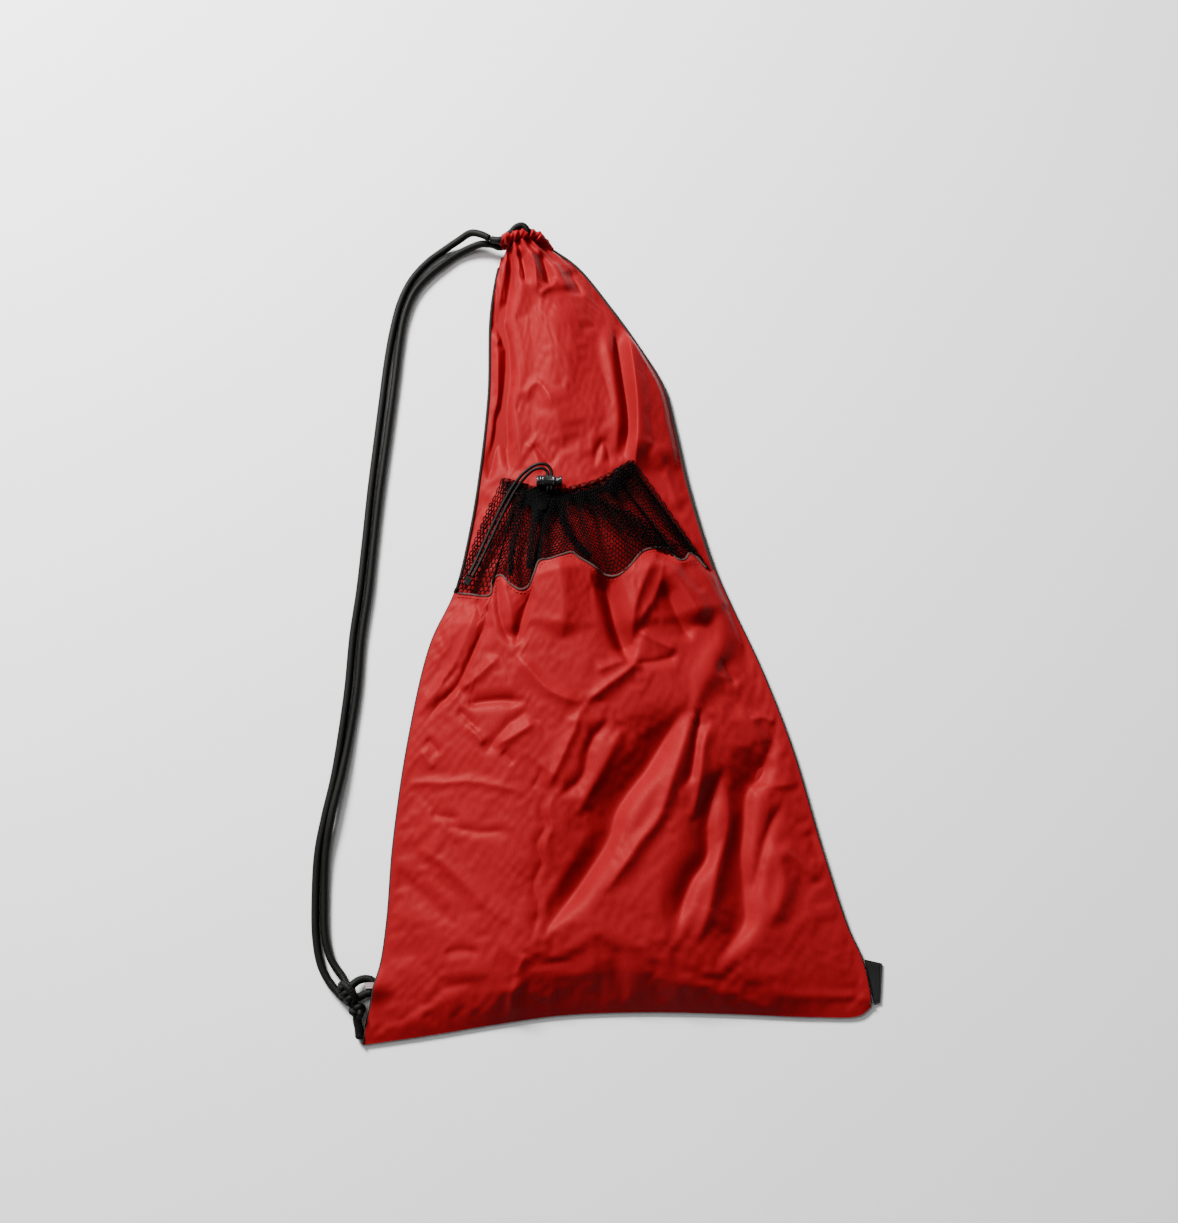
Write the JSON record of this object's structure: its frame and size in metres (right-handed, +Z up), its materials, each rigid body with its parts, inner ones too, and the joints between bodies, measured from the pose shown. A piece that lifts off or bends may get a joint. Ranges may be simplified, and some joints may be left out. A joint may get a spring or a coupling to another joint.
{
  "type": "drawstring stuff sack",
  "caption": "Thin drawstring sack lying flat, with a cord strap, a gathered mesh front pocket closed by a cord lock, and a side label.",
  "frame": {"origin": "on the floor under the middle of the lying sack's outline, its free cords left out", "axes": "+Y along the sack towards its gathered mouth, +X to the right seen from above, +Z up through its thickness"},
  "size_m": [0.3614, 0.552, 0.0272],
  "materials": {
    "red_polyester": "thin woven polyester with a satin sheen",
    "gathered_polyester": "gathered woven hem",
    "black_mesh": "open knitted mesh, matt",
    "black_cord": "round braided cord, matt",
    "black_elastic": "thin covered elastic cord",
    "black_plastic": "moulded, glossy",
    "steel": "drawn wire",
    "woven_label": "dense woven label, blank",
    "grey_tape": "ribbed binding tape"
  },
  "bodies": {
    "root": {"back_panel": "red_polyester", "front_panel": "red_polyester", "pocket_panel": "red_polyester", "mouth_channel_front": "red_polyester", "mouth_channel_back": "red_polyester", "pocket_hem_left": "gathered_polyester", "pocket_hem_right": "gathered_polyester", "pocket_mesh": "black_mesh", "pocket_seam_binding": "grey_tape", "left_seam_tape": "grey_tape", "right_seam_tape": "grey_tape", "webbing_tab": "grey_tape", "drawcord": "black_cord", "strap_hitch": "black_cord", "strap_stopper_knot": "black_cord", "strap_tail": "black_cord", "knot_loop": "black_cord", "pocket_elastic_left": "black_elastic", "pocket_elastic_right": "black_elastic", "elastic_tail_left": "black_elastic", "elastic_tail_right": "black_elastic", "elastic_tip": "black_elastic"},
    "strap": {"strap_outer": "black_cord", "strap_inner": "black_cord"},
    "lock": {"lock_barrel": "black_plastic", "lock_spring": "steel"},
    "plunger": {"lock_plunger": "black_plastic"},
    "label": {"side_label": "woven_label"}
  },
  "joints": [
    {"name": "strap_swing", "type": "hinge", "parent": "root", "child": "strap", "pos_m": [-0.178, -0.2381, 0.0038], "axis": [0.1717, 0.9851, 0.0127], "range_deg": [0, 90], "deforming": ["strap_outer", "strap_inner"]},
    {"name": "lock_slide", "type": "slide", "parent": "root", "child": "lock", "axis": [0, 1, 0], "range_m": [0, 0.005], "deforming": ["elastic_tail_left", "elastic_tail_right"]},
    {"name": "plunger_press", "type": "slide", "parent": "lock", "child": "plunger", "axis": [-1, 0, 0], "range_m": [0, 0.002], "stiffness_N_per_m": 400, "springref_m": -0.002, "deforming": ["lock_spring"]},
    {"name": "label_flip", "type": "hinge", "parent": "root", "child": "label", "pos_m": [0.1555, -0.2369, 0.001], "axis": [0.1758, -0.9844, 0], "range_deg": [0, 90]}
  ]
}
